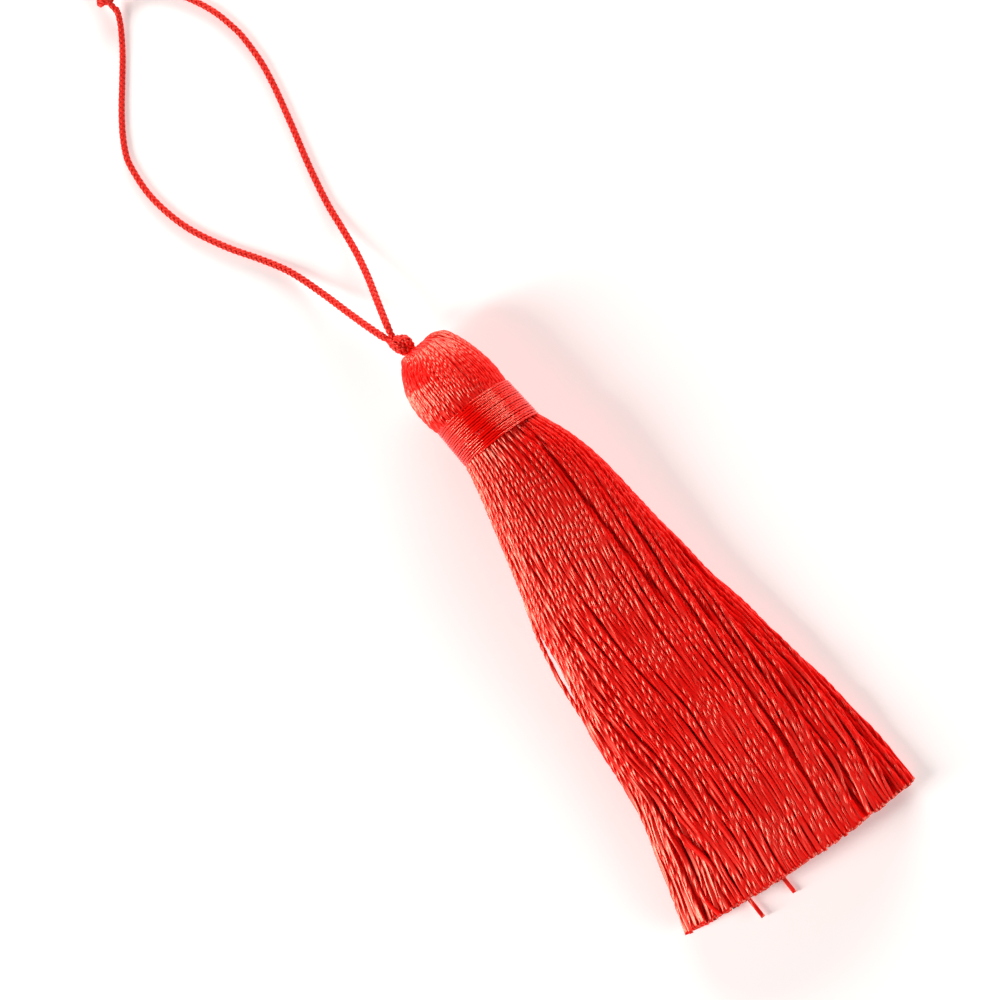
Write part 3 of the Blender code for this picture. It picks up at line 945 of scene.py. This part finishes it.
def buildBraid(name, routes, sizes, finish, random, folds=4):
    # one mesh of all the braided strands of these routes
    made = []
    sides = braid["sides"]
    half = cordShape["diameter"] / 2
    for number, (route, size) in enumerate(zip(routes, sizes)):
        step = braid["lay"] / braid["perTurn"]
        line = smoothPath(route, step)
        thick = np.interp(np.linspace(0, 1, len(line)), np.linspace(0, 1, len(size)), size)
        lowered = line[:, 2] - half + thick / 2
        line[:, 2] = np.where(line[:, 2] < braid["onFloor"], lowered, line[:, 2])
        line[:, 2] = np.maximum(line[:, 2], thick / 2)
        tubes, out = braidTubes(line, thick)
        run = directions(tubes)
        rise = unit(out - (out * run).sum(-1, keepdims=True) * run)
        across = np.cross(rise, run)
        count, rings = tubes.shape[:2]
        angles = np.linspace(0, 2 * math.pi, sides, endpoint=False)
        angles = np.broadcast_to(angles, (count, rings, sides))
        wide = thick[None, :, None] * braid["wide"] / 2
        flat = thick[None, :, None] * braid["flat"] / 2
        reach = 1 / np.sqrt((np.cos(angles) / wide) ** 2 + (np.sin(angles) / flat) ** 2)
        tint = drawTones(random, count, braid["tones"])
        groove = np.array(braid["groove"])
        label = name if len(routes) == 1 else f"{name}_{number}"
        made.append(joinTubes(
            label, tubes, across, rise, angles, reach, finish, folds, tint, groove
        ))
    if len(made) > 1:
        form = bmesh.new()
        for thing in made:
            form.from_mesh(thing.data)
        mesh = made[0].data
        form.to_mesh(mesh)
        form.free()
        for thing in made[1:]:
            bpy.data.objects.remove(thing)
        made[0].name = name
    return made[0]


# Each knot is one overhand knot in the cord, drawn tight, and the turns that lie on it.
# A turn has its thickness at its two ends and its middle line.
headKnotShape = {
    "centre": (-0.05, 42.5, 5.25),
    "along": (0.28, -0.96, 0.0),  # the way that the cord runs through it
    "big": 0.55,
    "small": 0.28,
    "stretch": 0.45,
    "thickness": (0.95, 0.95),
    "tail": [(0.1, 41.9, 5.3), (0.3, 40.6, 5.3)],  # down into the floss
    "turns": [
        ((1.02, 0.95), [  # over the front, at the left
            (-0.70, 43.95, 5.20), (-1.02, 43.45, 5.75), (-1.00, 42.90, 6.25),
            (-0.78, 42.25, 6.45), (-0.45, 41.60, 6.25), (-0.10, 41.05, 5.70), (0.10, 40.60, 5.20),
        ]),
        ((1.10, 1.05), [  # over the front, at the right
            (-0.45, 43.00, 5.00), (-0.18, 43.22, 5.80), (0.24, 43.12, 6.30),
            (0.60, 42.65, 6.45), (0.70, 42.10, 6.30), (0.58, 41.50, 5.80), (0.35, 41.00, 5.10),
        ]),
        ((0.95, 0.95), [  # round the back
            (-0.60, 43.50, 5.00), (-0.95, 42.90, 4.55), (-0.45, 42.20, 4.30),
            (0.35, 41.90, 4.30), (0.80, 42.40, 4.60), (0.60, 43.00, 5.00), (0.10, 43.20, 5.50),
        ]),
        ((0.92, 0.80), [  # the ends of the two legs
            (-1.60, 45.20, 4.90), (-1.40, 44.73, 5.07), (-1.15, 44.20, 5.25),
            (-0.80, 43.55, 5.30), (-0.30, 42.8, 5.3),
        ]),
        ((0.92, 0.80), [
            (-0.18, 45.50, 5.60), (-0.26, 45.00, 5.68), (-0.42, 44.40, 5.60),
            (-0.40, 43.70, 5.50), (0.0, 42.9, 5.4),
        ]),
        ((1.15, 1.35), [  # between the two front ones
            (-0.30, 43.55, 5.60), (-0.16, 43.00, 5.95), (-0.02, 42.30, 6.10),
            (0.06, 41.70, 5.95), (0.14, 41.00, 5.45),
        ]),
    ],
}
endKnotShape = {
    "centre": (-2.9, 99.85, 1.42),
    "along": (0.3, 0.95, 0.0),
    "big": 0.56,
    "small": 0.38,
    "stretch": 0.62,
    "thickness": (0.84, 0.84),
    "tail": [],
    "turns": [
        ((0.78, 0.80), [(-2.62, 97.4, 0.98), (-2.7, 98.6, 1.2), (-2.9, 99.8, 1.4), *leftEnd]),
        ((0.78, 0.80), [(-0.9, 99.2, 1.05), (-1.8, 99.5, 1.3), (-2.3, 100.0, 1.4), *rightEnd]),
    ],
}


def knotRoute(knot):
    # the middle line of the overhand knot and its tail
    ahead = Vector(knot["along"]).normalized()
    side = ahead.cross(Vector((0, 0, 1))).normalized()
    up = side.cross(ahead)
    steps = 24
    points = []
    for step in range(steps + 1):
        t = step / steps * 2 * math.pi
        ring = knot["big"] + knot["small"] * math.cos(3 * t)
        off = side * ring * math.cos(2 * t) + up * ring * math.sin(2 * t)
        off = off + ahead * knot["stretch"] * math.sin(3 * t)
        points.append(Vector(knot["centre"]) + off)
    points += [Vector(point) for point in knot["tail"]]
    return [point[:] for point in points]


def buildKnot(name, knot, finish, random):
    routes = [knotRoute(knot)] + [line for _, line in knot["turns"]]
    sizes = [knot["thickness"]] + [thickness for thickness, _ in knot["turns"]]
    return buildBraid(name, routes, sizes, finish, random, 1)


table = {
    "half": 1.5,  # m
    "colour": (0.93, 0.92, 0.92),
    "roughness": 0.6,
    "glow": 0.24,  # it is lit a little from beneath
    "glowColour": (1.0, 0.99, 0.98),
}


def buildStage():
    form = bmesh.new()
    bmesh.ops.create_grid(form, x_segments=1, y_segments=1, size=table["half"])
    mesh = bpy.data.meshes.new("floor")
    form.to_mesh(mesh)
    form.free()
    floor = bpy.data.objects.new("floor", mesh)
    made = bpy.data.materials.new("floor")
    made.use_nodes = True
    shader = made.node_tree.nodes["Principled BSDF"]
    shader.inputs["Base Color"].default_value = (*table["colour"], 1)
    shader.inputs["Roughness"].default_value = table["roughness"]
    shader.inputs["Emission Color"].default_value = (*table["glowColour"], 1)
    shader.inputs["Emission Strength"].default_value = table["glow"]
    mesh.materials.append(made)
    bpy.context.collection.objects.link(floor)


studio = {
    "aim": (2.0, 15.0, 4.0),  # mm, what the lamps point at
    "distance": 0.6,  # m
    "colour": (1.0, 0.92, 0.89),
    "sky": 0.02,
    # way: where a lamp stands, seen from the tassel. sweep: the direction of its long side.
    "lamps": [
        {
            "name": "left", "way": (-0.91, 0.14, 0.38), "sweep": (0.38, 0, 0.91),
            "size": (0.50, 0.12), "watts": 5.8,
        },
        {
            "name": "far", "way": (0.45, 0.86, 0.25), "sweep": (0.86, -0.45, 0),
            "size": (0.55, 0.20), "watts": 5.6,
        },
        {
            "name": "near", "way": (0.60, -0.76, 0.25), "sweep": (0.76, 0.60, 0),
            "size": (0.55, 0.20), "watts": 3.0,
        },
    ],
}


def buildLights():
    aim = Vector([value * mm for value in studio["aim"]])
    for lamp in studio["lamps"]:
        data = bpy.data.lights.new(lamp["name"], "AREA")
        data.shape = "RECTANGLE"
        data.size, data.size_y = lamp["size"]
        data.energy = lamp["watts"]
        data.color = studio["colour"]
        way = Vector(lamp["way"]).normalized()
        sweep = Vector(lamp["sweep"])
        sweep = (sweep - sweep.dot(way) * way).normalized()
        thing = bpy.data.objects.new(lamp["name"], data)
        thing.location = aim + way * studio["distance"]
        thing.rotation_euler = Matrix((sweep, way.cross(sweep), way)).transposed().to_euler()
        bpy.context.collection.objects.link(thing)
    world = bpy.data.worlds.new("studio")
    world.use_nodes = True
    glow = world.node_tree.nodes["Background"]
    glow.inputs["Color"].default_value = (1, 1, 1, 1)
    glow.inputs["Strength"].default_value = studio["sky"]
    bpy.context.scene.world = world
    bpy.context.scene.view_settings.view_transform = "Standard"


makeCamera()
random = np.random.default_rng(braid["seed"])
floss = threadMaterial("red_silk_floss", flossFinish)
wrapThread = threadMaterial("red_wrap_thread", wrapFinish)
cordThread = threadMaterial("red_cord_braid", cordFinish)

thickness = [cordShape["thickness"]]
cordLeft = buildBraid("cord_left_braid", [leftLeg], thickness, cordThread, random)
cordRight = buildBraid("cord_right_braid", [rightLeg], thickness, cordThread, random)
headKnot = buildKnot("head_knot_braid", headKnotShape, cordThread, random)
endKnot = buildKnot("end_knot_braid", endKnotShape, cordThread, random)
print("cord and knots made")
skirtPieces = buildSkirt(floss)
headPieces = buildHead(floss)
print("floss made")
wrapPieces = buildWrap(wrapThread)
print("wrap made")
buildStage()
buildLights()
print("table and lights made")

for piece in skirtPieces + headPieces:
    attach(piece, body)
    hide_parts("tassel")
for piece in wrapPieces:
    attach(piece, body)
    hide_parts("neck_band")
for piece, nodes in (
    (cordLeft, ["cord_left"]),
    (cordRight, ["cord_right"]),
    (headKnot, ["head_knot"]),
    (endKnot, ["end_knot", "cord_end_left", "cord_end_right"]),
):
    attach(piece, body)
    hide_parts(*nodes)

for piece, route, length, others in (
    (cordLeft, leftLeg, cordShape["legLength"], [headKnot, endKnot]),
    (cordRight, rightLeg, cordShape["rightLegLength"], [endKnot]),
):
    line = smoothPath(route, cordShape["pathStep"]) * mm
